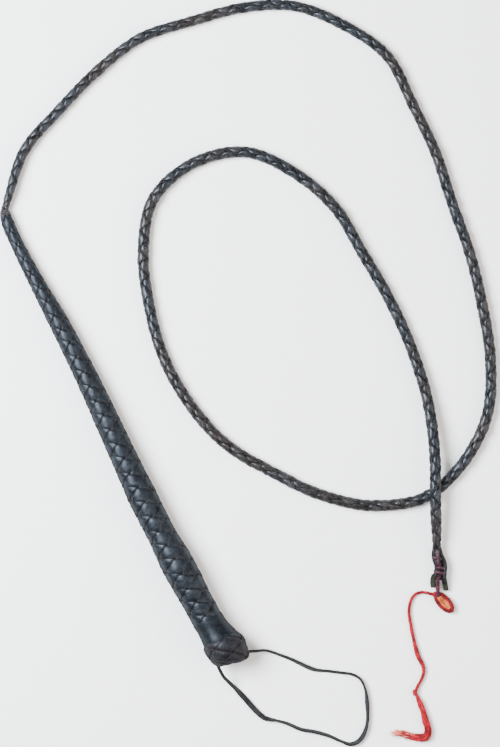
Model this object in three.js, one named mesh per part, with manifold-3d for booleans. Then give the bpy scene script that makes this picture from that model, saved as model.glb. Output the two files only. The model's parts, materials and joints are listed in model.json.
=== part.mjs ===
// A plaited leather whip of the stockwhip kind, laid on a flat surface: a tapered handle with a heel knot
// and a wrist lace, a long plaited thong, and a red cord cracker with a frayed end.
// Millimetres, +Z up. The handle lies along +Y from its heel to its tip, and rests on z = 0.
import * as THREE from "three";
import Module from "manifold-3d";
import { mergeVertices } from "three/addons/utils/BufferGeometryUtils.js";

const wasm = await Module();
wasm.setup();

// Driving dimensions.
const HANDLE_LENGTH = 457; // from the heel's end face to the pivot at the tip: 18 inches
const HEEL_RADIUS = 19;
const HEEL_LENGTH = 24.3;
const HEEL_MIDDLE = 12; // along the handle, where the heel knot rests on the surface
const HEEL_HEIGHT = 18.7; // the axis above the surface at the heel's middle
const TIP_HEIGHT = 6; // the axis above the surface at the pivot
const HEEL_Y = -228.7; // the heel's end face, so that the handle's box is centred on the origin
const PLAIT_THICKNESS = 2.2; // two layers of strand
const BAND_LENGTH = 19.6;
const BINDING_LENGTH = 8.2;
const BINDING_RADIUS = 5;
const PLAIT_END = 447;
const LEAST_BORE = 2.6; // inside the plait at the tip, round the keeper's legs
const CORE_START = 3;
const CORE_END = 425;
const CORE_HEEL_RADIUS = 5;
const CORE_TIP_RADIUS = 2.2;
const WRAP_START = 22;
const WRAP_END = 420;
const CLEARANCE = 0.3; // between touching pieces
const THONG_DIAMETER = 8.8;
const KEEPER_RADIUS = 1; // of the leather lace that the keepers are made of
const KEEPER_EYE = 2.6; // half the spacing of the handle keeper's two legs in its eye
const KEEPER_REACH = 28; // from the pivot to the keeper's ends inside the handle
const LEG_SPACING = 1.2; // half the spacing of a keeper's legs where they are bound
const KEEPER_BEND = 2.35; // the thong keeper's bend, round the handle keeper
const EYE_FLARE = 5.6; // the length in which a keeper's legs spread
const NECK = 13.3; // from the pivot to the thong's plait
const LACE_DIAMETER = 2.8;
const STRING_DIAMETER = 3.2;
const TASSEL_DIAMETER = 5.4;
const LOOP_LENGTH = 24;
const LOOP_WIDTH = 11.7;
const LOOP_BAR = 2.6;
const LOOP_THICKNESS = 2.4;
const LOOP_HEIGHT = 4.2; // the cracker loop's middle above the surface
const TAIL_DIAMETER = 3.4;
const HITCH_LENGTH = 22;
const HITCH_HEIGHT = 6.6;
const LATHE_SEGMENTS = 24;

// The handle's outline over its plait: distance from the heel's end face, and radius.
const HANDLE_OUTLINE = [
  [22, 13.5], [44, 13.6], [57, 14.3], [79, 15.1], [101, 14.1], [116, 13.2], [147, 14.0], [161, 13.7],
  [182, 12.5], [204, 11.9], [234, 11.7], [255, 10.8], [291, 10.2], [313, 9.6], [335, 9.2], [364, 7.7],
  [393, 6.6], [407, 5.9], [436, 5.3], [438, 4.1], [447, 4.1],
];

// Routes, laid out by hand on the surface. Each is one smooth curve through its points.
const THONG_ROUTE = [
  [9.7, 238.4, 6], [39, 267, 4.6], [84, 286, 4.4], [130, 302, 4.4], [178, 311, 4.4], [225, 304, 4.4],
  [273, 294, 4.4], [314, 275, 4.4], [346, 240, 4.4], [369, 197, 4.4], [370, 148, 4.4], [369, 100, 4.4],
  [362, 52, 4.4], [356, 4, 4.4], [345, -43, 4.4], [330, -89, 4.4], [306, -131, 4.4], [268, -160, 4.4],
  [223, -173, 4.4], [177, -159, 4.4], [139, -129, 4.4], [109, -91, 4.4], [83, -50, 4.4], [70, -3, 4.4],
  [68, 45, 4.4], [77, 92, 4.4], [94, 138, 4.4], [123, 176, 4.4], [169, 189, 4.4], [216, 177, 4.4],
  [247, 141, 4.4], [266, 96, 4.4], [270, 48, 4.4], [273, 0, 4.4], [271, -48, 4.6], [263, -96, 7.4],
  [247, -142, 13.2], [233, -171, 14.2], [222, -195, 10.6], [210.8, -220, 6.8],
];
const LACE_ROUTE = [
  [19.8, -226.5, 12], [25, -229, 9.2], [33, -233, 3.4], [41, -241, 1.7], [50, -251, 1.5], [57, -260, 1.5],
  [64, -268, 1.5], [75, -275, 1.5], [84, -281, 1.5], [92, -286.5, 1.5], [97, -294, 1.5], [97, -304, 1.5],
  [93, -316, 1.5], [87, -329, 1.5], [81, -337, 1.5], [72, -343, 1.5], [63, -342.5, 1.5],
  [56, -335.5, 1.5], [48, -326, 1.5], [39, -318, 1.5], [29, -310.5, 1.5], [20, -300, 1.5],
  [12, -293, 1.5], [4.5, -287, 1.5], [0, -277, 1.5], [-3, -266, 1.5], [-7, -252, 2.6], [-9.8, -243, 7.4],
  [-10.3, -237, 12.2], [-10.1, -233, 14.2], [-10, -229.8, 14.4],
];
const STRING_ROUTE = [
  [189.7, -254.5, 4.2], [185.5, -251, 3.2], [181, -248.4, 2], [176.5, -247.6, 1.7], [172, -249, 1.7],
  [167.5, -253, 1.7], [163, -260, 1.7], [160, -269, 1.7], [157.5, -278, 1.7], [155, -288, 1.7],
  [153, -299, 1.7], [153, -308, 1.7], [151, -314, 1.7], [146, -319, 1.7], [140.5, -322.7, 1.9],
  [137.6, -325.2, 2.4],
];
const TASSEL_ROUTE = [
  [135.9, -331.3, 2.8], [135.5, -340, 2.8], [134, -350, 2.8], [132.5, -358, 2.8], [130, -364, 2.8],
  [125.5, -366.2, 2.8], [120, -364, 2.8], [114, -359, 2.8], [108, -353.5, 2.8], [100, -350, 2.8],
];

// The hitch at the thong's end, and what hangs on it.
const HITCH_START = [210.5, -220.6];
const HITCH_DIRECTION = [-0.42, -0.907];
const FALL_TIP = [193.1, -257.7]; // where the cracker loop turns about the fall
const LOOP_TOP = [192, -254];
const LOOP_DIRECTION = [0.28, -0.96];
const CRACKER_KNOT = [136, -328.2, 2.7];

const tilt = Math.asin((HEEL_HEIGHT - TIP_HEIGHT) / (HANDLE_LENGTH - HEEL_MIDDLE));
const heelEndHeight = HEEL_HEIGHT + HEEL_MIDDLE * Math.sin(tilt);
const pivotY = HEEL_Y + HANDLE_LENGTH * Math.cos(tilt);

const part = new THREE.Group();
const handle = new THREE.Group(); // its own +Y runs along the handle from the heel's end face
handle.position.set(0, HEEL_Y, heelEndHeight);
handle.rotation.x = -tilt;
part.add(handle);

function leather(color, roughness = 0.55) {
  return new THREE.MeshStandardMaterial({ color, roughness, metalness: 0 });
}

function cord(color) {
  return new THREE.MeshStandardMaterial({ color, roughness: 0.85, metalness: 0 });
}

function addPiece(parent, name, geometry, material) {
  const piece = new THREE.Mesh(geometry, material);
  piece.name = name;
  parent.add(piece);
  return piece;
}

// A solid of revolution about +Y from [radius, height] points given anticlockwise.
function revolve(profile, segments = LATHE_SEGMENTS) {
  return new THREE.LatheGeometry(profile.map(([r, y]) => new THREE.Vector2(r, y)), segments);
}

// A sleeve between an inner and an outer radius, each a function of the distance along the handle.
function sleeve(stations, inner, outer) {
  const outside = stations.map((t) => [outer(t), t]);
  const inside = stations.map((t) => [inner(t), t]).reverse();
  return revolve([...outside, ...inside, outside[0]]);
}

function outlineRadius(t) {
  const next = HANDLE_OUTLINE.findIndex(([station]) => station >= t);
  if (next <= 0) return HANDLE_OUTLINE[next === 0 ? 0 : HANDLE_OUTLINE.length - 1][1];
  const [t0, r0] = HANDLE_OUTLINE[next - 1];
  const [t1, r1] = HANDLE_OUTLINE[next];
  return r0 + ((r1 - r0) * (t - t0)) / (t1 - t0);
}

// The plait's bore narrows with the handle, but leaves room for the keeper's two legs at the tip.
function plaitBore(t) {
  return Math.max(outlineRadius(t) - PLAIT_THICKNESS, LEAST_BORE);
}

function stationsBetween(start, end) {
  const within = HANDLE_OUTLINE.map(([t]) => t).filter((t) => t > start + 1 && t < end - 1);
  return [start, ...within, end];
}

function roundSection(diameter, sides) {
  const corners = [];
  for (let i = 0; i < sides; i += 1) {
    const angle = (2 * Math.PI * (i + 0.5)) / sides;
    corners.push(new THREE.Vector2((Math.cos(angle) * diameter) / 2, (Math.sin(angle) * diameter) / 2));
  }
  return new THREE.Shape(corners);
}

// A closed tube through the points, as one smooth curve.
function tube(points, diameter, steps, sides = 8) {
  const extrudePath = new THREE.CatmullRomCurve3(points.map((p) => new THREE.Vector3(...p)));
  return new THREE.ExtrudeGeometry(roundSection(diameter, sides), { steps, extrudePath });
}

// A lace doubled back on itself: two legs that spread into an eye and join in a round bend.
// Its length runs along +Y with the bend's middle at y = 0, and its legs lie at +-Z.
function hairpin(legEnd, legSpacing, bend) {
  const spread = -bend * 1.7;
  const upper = [
    [0, legEnd, legSpacing], [0, Math.min(legEnd * 0.8, spread - EYE_FLARE - 1), legSpacing],
    [0, spread - EYE_FLARE, legSpacing], [0, spread, bend * 0.94],
  ];
  const arc = [];
  for (let i = 0; i <= 6; i += 1) {
    const angle = Math.PI / 2 - (Math.PI * i) / 6;
    arc.push([0, -bend + bend * Math.cos(angle), bend * Math.sin(angle)]);
  }
  const lower = upper.map(([x, y, z]) => [x, y, -z]).reverse();
  return tube([...upper, ...arc, ...lower], 2 * KEEPER_RADIUS, 40);
}

function toSolid(geometry) {
  const bare = geometry.clone();
  bare.deleteAttribute("normal");
  bare.deleteAttribute("uv");
  const merged = mergeVertices(bare, 1e-4);
  const vertProperties = new Float32Array(merged.attributes.position.array);
  const triVerts = new Uint32Array(merged.index.array);
  return new wasm.Manifold(new wasm.Mesh({ numProp: 3, vertProperties, triVerts }));
}

function toGeometry(solid) {
  const mesh = solid.getMesh();
  const geometry = new THREE.BufferGeometry();
  geometry.setAttribute("position", new THREE.BufferAttribute(mesh.vertProperties, 3));
  geometry.setIndex(new THREE.BufferAttribute(mesh.triVerts, 1));
  const faceted = geometry.toNonIndexed();
  faceted.computeVertexNormals();
  return faceted;
}

// The stiff rod through the whole handle, thinner towards the tip.
function addCore() {
  const profile = [[0, CORE_START], [CORE_HEEL_RADIUS, CORE_START], [CORE_TIP_RADIUS, CORE_END], [0, CORE_END]];
  addPiece(handle, "handle_core", revolve(profile, 12), cord("#b08a5a"));
}

// Leather wound round the core, which gives the handle its swell.
function addWrap() {
  const taper = (CORE_HEEL_RADIUS - CORE_TIP_RADIUS) / (CORE_END - CORE_START);
  const coreRadius = (t) => CORE_HEEL_RADIUS - taper * (t - CORE_START);
  const stations = stationsBetween(WRAP_START, WRAP_END);
  const inner = (t) => coreRadius(t) + CLEARANCE;
  const outer = (t) => plaitBore(t) - CLEARANCE;
  addPiece(handle, "handle_foundation", sleeve(stations, inner, outer), leather("#5a4334", 0.8));
}

function addPlait() {
  const start = HEEL_LENGTH + BAND_LENGTH + 2 * CLEARANCE;
  const geometry = sleeve(stationsBetween(start, PLAIT_END), plaitBore, outlineRadius);
  addPiece(handle, "handle_plait", geometry, leather("#1c1f24"));
}

// A smooth band that holds the plait's lower end, just before the heel knot.
function addBand() {
  const start = HEEL_LENGTH + CLEARANCE;
  const outer = (t) => outlineRadius(t) + CLEARANCE;
  const geometry = sleeve([start, start + BAND_LENGTH], plaitBore, outer);
  addPiece(handle, "heel_band", geometry, leather("#191b1f"));
}

function addTipBinding() {
  const inner = () => outlineRadius(PLAIT_END) + CLEARANCE;
  const outer = () => BINDING_RADIUS;
  const geometry = sleeve([PLAIT_END - BINDING_LENGTH, PLAIT_END], inner, outer);
  addPiece(handle, "tip_binding", geometry, cord("#8f8f92"));
}

// The lace doubled out of the handle's tip. The thong hangs on its bend.
function addHandleKeeper() {
  const legs = hairpin(-KEEPER_REACH, LEG_SPACING, KEEPER_EYE);
  const keeper = addPiece(handle, "handle_keeper", legs, leather("#17181b"));
  keeper.position.y = HANDLE_LENGTH;
}

function addHeelFoundation() {
  const profile = [[5.3, 3], [15.5, 3], [15.5, 21.5], [5.3, 21.5], [5.3, 3]];
  addPiece(handle, "heel_foundation", revolve(profile), leather("#4b3a30", 0.8));
}

function addHeelCap() {
  const profile = [[0, 0], [12, 0], [12.7, 0.7], [12.7, 2.4], [0, 2.4]];
  addPiece(handle, "heel_cap", revolve(profile), leather("#20222a"));
}

// The woven knot over the heel, pressed flat where it rests on the surface.
function addHeelKnot() {
  const profile = [
    [13, 0.2], [16.4, 0.6], [18.2, 2.6], [HEEL_RADIUS, 6.5], [HEEL_RADIUS, 17.5], [18.2, 21],
    [16.4, 23.5], [14.6, HEEL_LENGTH], [14.6, 21.8], [15.8, 21.8], [15.8, 2.7], [13, 2.7], [13, 0.2],
  ];
  const whole = revolve(profile);
  handle.updateMatrixWorld(true);
  whole.applyMatrix4(handle.matrixWorld);
  const below = new THREE.BoxGeometry(60, 60, 20).translate(0, HEEL_Y, -10);
  const flattened = toSolid(whole).subtract(toSolid(below));
  addPiece(part, "heel_knot", toGeometry(flattened), leather("#262429"));
}

// A group whose +Y runs level in the given direction from the given place.
function laidGroup(x, y, z, directionX, directionY) {
  const group = new THREE.Group();
  group.position.set(x, y, z);
  group.rotation.z = Math.atan2(directionY, directionX) - Math.PI / 2;
  part.add(group);
  return group;
}

// The thong's own keeper, bent round the handle's, lies level, so the two turn like links of a chain.
function addThongKeeper() {
  const [x, y] = THONG_ROUTE[1];
  const neck = laidGroup(0, pivotY, TIP_HEIGHT, -x, pivotY - y);
  const legs = hairpin(-NECK - KEEPER_BEND, LEG_SPACING, KEEPER_BEND);
  const keeper = addPiece(neck, "thong_keeper", legs, leather("#17181b"));
  keeper.rotation.y = Math.PI / 2;
  keeper.position.y = KEEPER_BEND;
  const binding = sleeve([-NECK + 0.4, -7.6], () => 2.6, () => 3.8);
  addPiece(neck, "keeper_binding", binding, cord("#77777a"));
}

function addThong() {
  addPiece(part, "thong", tube(THONG_ROUTE, THONG_DIAMETER, 80, 10), leather("#22252b"));
}

function addWristLace() {
  addPiece(part, "wrist_lace", tube(LACE_ROUTE, LACE_DIAMETER, 46), leather("#141518"));
}

// The knot that ties the fall to the thong's end, and the two strand ends left beside it.
function addHitch() {
  const hitch = laidGroup(...HITCH_START, HITCH_HEIGHT, ...HITCH_DIRECTION);
  const profile = [[0, 0], [3.6, 0], [6, 4.5], [6.5, 11], [5.8, 17], [4, HITCH_LENGTH], [0, HITCH_LENGTH]];
  addPiece(hitch, "fall_hitch", revolve(profile, 16), leather("#4a3440"));
  const section = roundSection(TAIL_DIAMETER, 8);
  const tails = [["hitch_tail_left", -1, 1.4, 8], ["hitch_tail_right", 1, 4.6, 10]];
  for (const [name, side, spread, length] of tails) {
    const start = [side * -2.6, HITCH_LENGTH + 1.6, 0];
    const middle = [side * (-2.6 - spread / 3), HITCH_LENGTH + length / 2, -3];
    const end = [side * (-2.6 - spread), HITCH_LENGTH + length, -4.6];
    const path = new THREE.CatmullRomCurve3([start, middle, end].map((p) => new THREE.Vector3(...p)));
    const geometry = new THREE.ExtrudeGeometry(section, { steps: 5, extrudePath: path });
    addPiece(hitch, name, geometry, leather("#4a4b44"));
  }
}

// A lace doubled through the cracker's loop, so the cracker turns about its bend.
function addFall() {
  const endX = HITCH_START[0] + HITCH_DIRECTION[0] * (HITCH_LENGTH + 1);
  const endY = HITCH_START[1] + HITCH_DIRECTION[1] * (HITCH_LENGTH + 1);
  const [tipX, tipY] = FALL_TIP;
  const fall = laidGroup(tipX, tipY, LOOP_HEIGHT, tipX - endX, tipY - endY);
  const reach = Math.hypot(tipX - endX, tipY - endY);
  addPiece(fall, "fall", hairpin(-reach, 1.3, KEEPER_EYE), cord("#6d2f4c"));
}

function racetrack(length, width) {
  const radius = width / 2;
  const shape = new THREE.Shape();
  shape.absarc(0, -radius, radius, 0, Math.PI, false);
  shape.absarc(0, -length + radius, radius, Math.PI, 2 * Math.PI, false);
  shape.closePath();
  return shape;
}

function addCrackerLoop() {
  const outline = racetrack(LOOP_LENGTH, LOOP_WIDTH);
  const hole = racetrack(LOOP_LENGTH - 2 * LOOP_BAR, LOOP_WIDTH - 2 * LOOP_BAR);
  outline.holes.push(new THREE.Path(hole.getPoints(8).map((p) => new THREE.Vector2(p.x, p.y - LOOP_BAR))));
  const options = { depth: LOOP_THICKNESS, bevelEnabled: false, curveSegments: 8 };
  const geometry = new THREE.ExtrudeGeometry(outline, options);
  geometry.translate(0, 0, -LOOP_THICKNESS / 2);
  const ring = laidGroup(...LOOP_TOP, LOOP_HEIGHT, -LOOP_DIRECTION[0], -LOOP_DIRECTION[1]);
  addPiece(ring, "cracker_loop", geometry, cord("#b3202d"));
}

function addCracker() {
  addPiece(part, "cracker_string", tube(STRING_ROUTE, STRING_DIAMETER, 18), cord("#cf434a"));
  const knot = new THREE.SphereGeometry(2.6, 12, 8);
  addPiece(part, "cracker_knot", knot, cord("#c23a40")).position.set(...CRACKER_KNOT);
  addPiece(part, "cracker_tassel", tube(TASSEL_ROUTE, TASSEL_DIAMETER, 14, 10), cord("#d8555a"));
}

addCore();
addWrap();
addPlait();
addBand();
addTipBinding();
addHandleKeeper();
addHeelFoundation();
addHeelCap();
addHeelKnot();
addThongKeeper();
addThong();
addWristLace();
addHitch();
addFall();
addCrackerLoop();
addCracker();

export default part;
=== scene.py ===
"""Builds the looks of a plaited leather whip, laid out on a plain surface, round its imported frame.

Units are metres, +Z is up, and the handle lies along +Y from its heel to its tip.
"""

import json
import math

import bpy
import numpy as np
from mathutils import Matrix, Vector


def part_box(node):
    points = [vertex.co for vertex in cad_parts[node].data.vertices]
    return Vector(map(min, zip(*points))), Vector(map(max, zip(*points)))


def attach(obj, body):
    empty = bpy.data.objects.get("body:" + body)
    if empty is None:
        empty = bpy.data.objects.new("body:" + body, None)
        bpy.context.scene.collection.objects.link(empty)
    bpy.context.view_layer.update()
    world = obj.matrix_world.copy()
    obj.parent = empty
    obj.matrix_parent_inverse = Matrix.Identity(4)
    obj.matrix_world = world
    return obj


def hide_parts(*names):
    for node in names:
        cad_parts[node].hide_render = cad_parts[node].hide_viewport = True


bl_info = {
    "name": "Plaited Whip",
    "version": (1, 0, 0),
    "blender": (4, 5, 0),
    "location": "View3D > Sidebar > Whip",
    "description": "Makes the plaits, laces, knots and cords of a plaited leather whip",
    "category": "Object",
}

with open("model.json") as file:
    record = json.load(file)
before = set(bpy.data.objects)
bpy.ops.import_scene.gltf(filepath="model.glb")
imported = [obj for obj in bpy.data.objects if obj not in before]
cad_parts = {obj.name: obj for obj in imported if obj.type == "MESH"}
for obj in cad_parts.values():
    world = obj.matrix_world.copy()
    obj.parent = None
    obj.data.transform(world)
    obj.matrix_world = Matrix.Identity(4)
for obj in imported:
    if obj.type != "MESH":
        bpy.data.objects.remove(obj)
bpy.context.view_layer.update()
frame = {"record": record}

MM = 0.001

# The handle's axis: from the middle of its heel's end face to the pivot at its tip, as the frame has it.
HANDLE_LENGTH = 0.457
HEEL_HEIGHT = 0.01904
CAP_STANDS_OUT = 0.0004
PIVOT = Vector(frame["record"]["behaviour"]["joints"][0]["pos_m"])
HEEL_END = Vector((0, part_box("heel_cap")[0][1] + CAP_STANDS_OUT, HEEL_HEIGHT))
HANDLE_DIRECTION = (PIVOT - HEEL_END).normalized()

# The handle's outline over its plait: distance from the heel's end face, and radius, in millimetres.
HANDLE_OUTLINE = [
    (40, 12.0), (44, 13.4), (46, 13.7), (54, 13.8), (65, 13.6), (76, 14.3), (87, 14.7), (98, 15.0), (108, 14.7),
    (119, 13.7), (130, 12.9), (151, 13.0), (173, 13.2), (184, 12.5), (205, 11.9), (238, 11.3), (260, 10.7),
    (281, 10.3), (303, 9.7), (324, 9.3), (346, 8.8), (367, 7.7), (378, 7.1), (400, 6.3), (421, 5.7), (443, 5.5),
    (450, 4.9), (454, 3.9), (456, 3.0),
]
# The cane has taken a slight bow: (distance from the heel, shift to the right), in millimetres.
HANDLE_BOW = [
    (-4, 1.6), (10, 1.9), (20, 1.9), (33, 0.1), (44, -1.3), (60, -2.1), (90, -3.0), (120, -4.0), (160, -4.7),
    (195, -4.1), (227, -3.3), (260, -2.3), (290, -1.8), (340, -2.1), (367, -3.3), (400, -4.4), (425, -4.5),
    (441, -3.9), (452, -2.2), (458, -0.6), (462, 0),
]
# Where the handle's plait starts and ends, from the heel's end face.
PLAIT_ENDS = (42.5 * MM, 454.5 * MM)
# How far the heel's end face leans, to the left and right of the middle, and where the lean has run out.
HEEL_LEAN = (0.2, 0.26)
HEEL_LEAN_RUN = 30 * MM

# Routes laid out on the surface, in millimetres. Each is one smooth curve through its points.
THONG_ROUTE = [
    (9.7, 238.4, 6), (39, 267, 4.6), (84, 286, 4.4), (130, 302, 4.4), (178, 311, 4.4), (225, 304, 4.4),
    (273, 294, 4.4), (314, 275, 4.4), (346, 240, 4.4), (369, 197, 4.4), (370, 148, 4.4), (369, 100, 4.4),
    (362, 52, 4.4), (356, 4, 4.4), (345, -43, 4.4), (330, -89, 4.4), (306, -131, 4.4), (268, -160, 4.4),
    (223, -173, 4.4), (177, -159, 4.4), (139, -129, 4.4), (109, -91, 4.4), (83, -50, 4.4), (70, -3, 4.4),
    (68, 45, 4.4), (77, 92, 4.4), (94, 138, 4.4), (123, 176, 4.4), (169, 189, 4.4), (216, 177, 4.4),
    (247, 141, 4.4), (266, 96, 4.4), (270, 48, 4.4), (273, 0, 4.4), (271, -48, 4.6), (263, -96, 7.4),
    (247, -142, 13.2), (233, -171, 14.2), (222, -195, 10.6), (210.8, -220, 6.8),
]
# How much higher the whole thong lies than its route.
THONG_LIFT = 1.2 * MM
# The thong's radius over its crowns, and how far the handle's crowns stand out of its outline.
THONG_RADIUS = 5.1 * MM
CROWNS_STAND_OUT = 0.5 * MM
# Both ends of the lace run a little way into the knot that holds them.
LACE_ROUTE = [
    (16.5, -225.4, 13.6), (19.8, -226.5, 12), (25, -229, 9.2), (33, -233, 4.2), (41, -241, 2.7),
    (50, -251, 2.3), (57, -260, 2.3), (64, -268, 2.3), (75, -275, 2.3), (84, -281, 2.3), (92, -286.5, 2.3),
    (97, -294, 2.3),
    (97, -304, 2.3), (93, -316, 2.3), (87, -329, 2.3), (81, -337, 2.3), (72, -343, 2.3), (63, -342.5, 2.3),
    (56, -335.5, 2.3), (48, -326, 2.3), (39, -318, 2.3), (29, -310.5, 2.3), (20, -300, 2.3), (12, -293, 2.3),
    (4.5, -287, 2.3), (0, -277, 2.3), (-3, -266, 2.3), (-7, -252, 2.6), (-9.8, -243, 7.4), (-11.4, -237, 12.4),
    (-11.8, -231.5, 14), (-11.6, -226, 14.6), (-11, -221, 14.6),
]
# Where along the wrist lace it is turned, and by how much: at 0 it lies flat, at 1.57 it stands on edge.
LACE_TURN_PLACES = (0, 0.1, 0.15, 0.19, 0.23, 0.31, 0.36, 0.4, 0.43, 0.46, 0.5, 0.53, 0.56, 0.63, 0.7,
                    0.75, 0.79, 0.83, 0.87, 0.9, 0.95, 1)
LACE_TURNS = (1.2, 1.25, 1.0, 0.85, 1.2, 1.2, 1.55, 0.9, 1.2, 1.25, 0.85, 1.0, 1.4, 1.15, 1.2,
              1.45, 0.5, 0.0, 0.4, 1.1, 1.3, 1.2)
STRING_ROUTE = [
    (194.2, -254.6, 5.2), (192, -254.4, 5.0), (189.7, -254.5, 4.2), (185.5, -251, 3.2), (181, -248.4, 2),
    (176.5, -247.6, 2.3), (172, -249, 2.3), (167.5, -253, 2.3), (163, -260, 2.3), (160, -269, 2.3),
    (157.5, -278, 2.3), (155, -288, 2.3), (153, -299, 2.3), (153, -308, 2.3), (151, -314, 2.3),
    (146, -319, 2.3), (140.5, -322.7, 2.4),
]
TASSEL_ROUTE = [
    (135.9, -331.3, 3.6), (135.5, -340, 3.6), (134, -350, 3.6), (132.5, -358, 3.6), (130, -364, 3.6),
    (125.5, -366.2, 3.6), (120, -364, 3.6), (114, -359, 3.6), (108, -353.5, 3.6), (100, -350, 3.6),
]

# The stage: the spot under the camera, the length of floor that its picture takes in, and its turn from +Y.
STAGE_MIDDLE = Vector((131 * MM, -3.2 * MM, 0))
PICTURE_LENGTH = 672.3 * MM
CAMERA_TURN = math.radians(26.49)

# Slow noises: features to the metre of a plait, or to the length of a tassel's rail, and the steps between
# their strands or fibres, which keep these from moving alike.
WANDER_RATE = 38.0
STRAY_RATE = 110.0
STRAND_APART = 7.3
FIBRE_WAVES = 9.0
FIBRE_APART = 3.7
# The larger this is, the rounder is the wave that takes a strand over and under.
WAVE_SOFTNESS = 0.25
# The part of its share of the circle that a clump of fibres fills.
CLUMP_SPREAD = 0.62
# The level that the materials read on a piece with no plait.
PLAIN_LEVEL = 0.7

PORE = 0.0007
YARN_HAIR = 0.00035
# What the three-ply cords share: their plies are round and all wind the same way.
SPUN = dict(each_way=3, slant=0.5, rise=0.0, flatness=0.95)


# ---- Routes and rails


def metres(points):
    return [tuple(c * MM for c in point) for point in points]


def smooth_curve(points, samples=24):
    """Points along the centripetal Catmull-Rom curve through the given points."""
    p = np.array(points, float)
    p = np.vstack([2 * p[0] - p[1], p, 2 * p[-1] - p[-2]])
    t = np.linspace(0, 1, samples, endpoint=False)[:, None]
    out = []
    for p0, p1, p2, p3 in zip(p, p[1:], p[2:], p[3:]):
        d0, d1, d2 = (np.linalg.norm(b - a) ** 0.5 for a, b in ((p0, p1), (p1, p2), (p2, p3)))
        m1 = d1 * ((p1 - p0) / d0 - (p2 - p0) / (d0 + d1) + (p2 - p1) / d1)
        m2 = d1 * ((p2 - p1) / d1 - (p3 - p1) / (d1 + d2) + (p3 - p2) / d2)
        out.append(p1 + m1 * t + (3 * (p2 - p1) - 2 * m1 - m2) * t**2 + (2 * (p1 - p2) + m1 + m2) * t**3)
    return np.vstack([*out, p[-2:-1]])


def runs(points):
    """How far along the line each of its points is."""
    return np.concatenate([[0], np.cumsum(np.linalg.norm(np.diff(points, axis=0), axis=1))])


def evenly(points, step):
    """The same line with its points an even step apart."""
    run = runs(points)
    at = np.linspace(0, run[-1], max(2, round(run[-1] / step) + 1))
    return np.column_stack([np.interp(at, run, points[:, i]) for i in range(3)])


def line_through(points, step, samples=24):
    return evenly(smooth_curve(points, samples), step)


def along_line(line, places, values):
    """The values at each point of a line of even steps, given at parts of its length."""
    return np.interp(np.linspace(0, 1, len(line)), places, values)


def run_length(points):
    return float(np.linalg.norm(np.diff(points, axis=0), axis=1).sum())


def make_rail(name, points, swell, turn=0.0):
    """A line of edges that a tree follows, with the radius and the turn of each of its points."""
    mesh = bpy.data.meshes.new(name)
    mesh.from_pydata([tuple(p) for p in points], [(i, i + 1) for i in range(len(points) - 1)], [])
    for label, value in (("swell", swell), ("turn", turn)):
        attribute = mesh.attributes.new(label, "FLOAT", "POINT")
        attribute.data.foreach_set("value", np.broadcast_to(np.asarray(value, float), len(points)).copy())
    rail = bpy.data.objects.new(name, mesh)
    bpy.context.scene.collection.objects.link(rail)
    return rail


# ---- Node trees


def add(tree, kind, inputs=(), **settings):
    """Adds a node, sets its properties, and fills its inputs with values, sockets or nodes."""
    node = tree.nodes.new(kind)
    for key, value in settings.items():
        setattr(node, key, value)
    pairs = inputs.items() if isinstance(inputs, dict) else enumerate(inputs)
    for key, value in pairs:
        if isinstance(value, bpy.types.Node):
            value = value.outputs[0]
        if isinstance(value, bpy.types.NodeSocket):
            tree.links.new(value, node.inputs[key])
        elif value is not None:
            node.inputs[key].default_value = value
    return node


def tree_of(*values):
    """The tree that the first node or socket among the values is in."""
    return next(v.id_data for v in values if isinstance(v, (bpy.types.Node, bpy.types.NodeSocket)))


def calc(operation, *values):
    return add(tree_of(*values), "ShaderNodeMath", values, operation=operation)


def combine(operation, *vectors):
    return add(tree_of(*vectors), "ShaderNodeVectorMath", vectors, operation=operation)


def scaled(vector, factor):
    return add(tree_of(vector), "ShaderNodeVectorMath", {0: vector, "Scale": factor}, operation="SCALE")


def noise(spot, size, detail, **more):
    """A noise whose features are about the given size."""
    inputs = {"Vector": spot, "Scale": 1 / size, "Detail": detail, **more}
    return add(tree_of(spot), "ShaderNodeTexNoise", inputs)


def remap(value, low, high, to_low=0.0, to_high=1.0):
    return add(tree_of(value), "ShaderNodeMapRange", {
        "Value": value, "From Min": low, "From Max": high, "To Min": to_low, "To Max": to_high})


def new_tree(name, sizes, material=True):
    """A tree with a geometry input and output, and a named input for each size."""
    tree = bpy.data.node_groups.new(name, "GeometryNodeTree")
    tree.interface.new_socket("Rail", in_out="INPUT", socket_type="NodeSocketGeometry")
    if material:
        sizes = {**sizes, "Material": ("Material", None, "The piece's finish")}
    for label, (kind, default, text) in sizes.items():
        socket = tree.interface.new_socket(label, in_out="INPUT", socket_type="NodeSocket" + kind)
        socket.description = text
        if default is not None:
            socket.default_value = default
    tree.interface.new_socket("Geometry", in_out="OUTPUT", socket_type="NodeSocketGeometry")
    return tree, add(tree, "NodeGroupInput").outputs


def rail_curve(tree, given):
    curve = add(tree, "GeometryNodeMeshToCurve", {"Mesh": given["Rail"]})
    return add(tree, "GeometryNodeSetCurveNormal", {"Curve": curve}, mode="Z_UP")


def unit_tube(tree, given, curve):
    """A tube one unit long, the parts of its points' places, and how far along the rail each belongs."""
    length = add(tree, "GeometryNodeCurveLength", {"Curve": curve})
    tube = add(tree, "GeometryNodeMeshCylinder", fill_type="NGON", inputs={
        "Vertices": given["Round"], "Side Segments": given["Steps"], "Radius": 1.0, "Depth": 1.0})
    place = add(tree, "ShaderNodeSeparateXYZ", [add(tree, "GeometryNodeInputPosition")]).outputs
    middle = calc("MULTIPLY", calc("ADD", place["Z"], 0.5), length)
    return tube, place, middle


def squared(value, power):
    """The value raised to a power that leaves its sign alone: below 1 it turns a circle squarer."""
    bent = calc("POWER", calc("ABSOLUTE", value), power)
    return calc("MULTIPLY", bent, calc("SIGN", value))


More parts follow.
